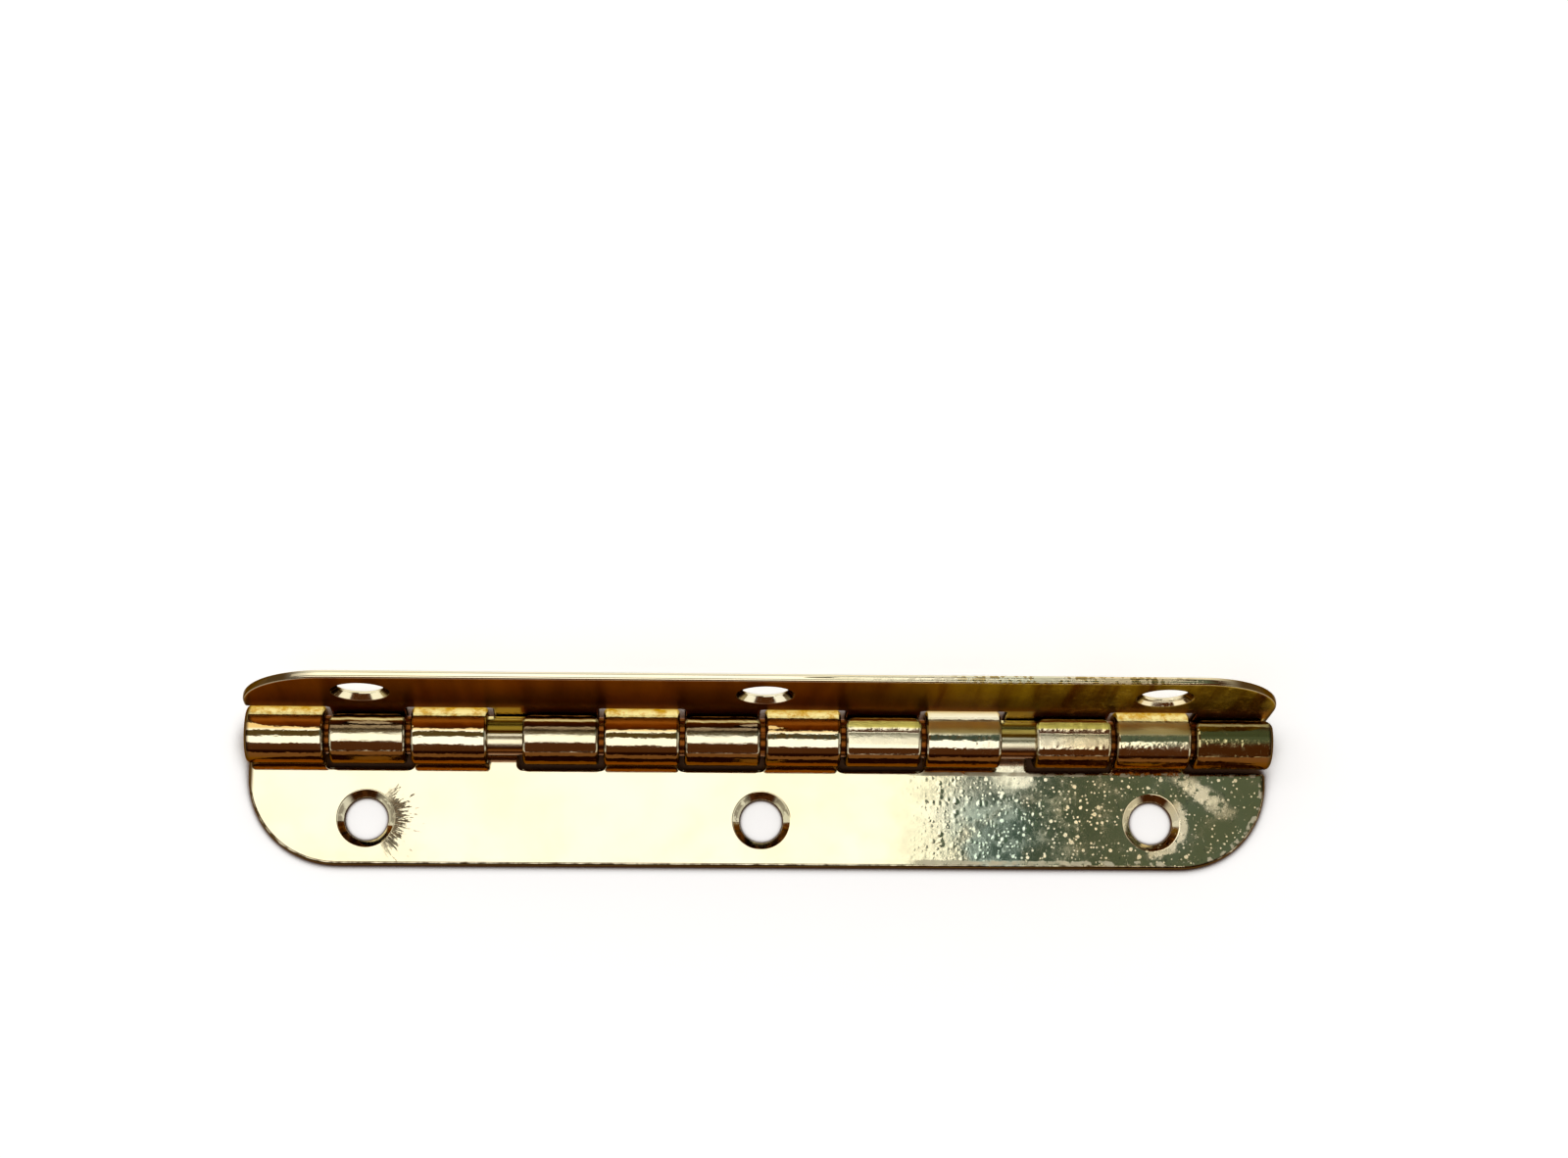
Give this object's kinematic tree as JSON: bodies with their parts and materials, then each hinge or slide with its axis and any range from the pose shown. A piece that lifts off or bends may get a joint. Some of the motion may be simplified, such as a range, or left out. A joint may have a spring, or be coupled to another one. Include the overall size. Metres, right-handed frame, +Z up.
{
  "type": "cabinet hinge",
  "caption": "Small brass cabinet hinge: rounded leaves with sunk screw holes, rolled into knuckles round a plain pin, with tabs that stop it just past square.",
  "frame": {"origin": "centre of the front leaf's screw row, on that leaf's seating face", "axes": "+X along the pin, +Y from the front leaf's free edge towards the pin, +Z up out of the seating face"},
  "size_m": [0.065, 0.0106, 0.0097],
  "materials": {
    "leaf_brass": "bright polished brass plate, grainy towards one end",
    "pin_brass": "bright drawn brass"
  },
  "bodies": {
    "front": {"front_leaf": "leaf_brass", "hinge_pin": "pin_brass"},
    "back": {"back_leaf": "leaf_brass"}
  },
  "joints": [
    {"name": "leaf_hinge", "type": "hinge", "parent": "front", "child": "back", "pos_m": [0, 0.0051, 0.0018], "axis": [1, 0, 0], "range_deg": [0, 95]}
  ]
}
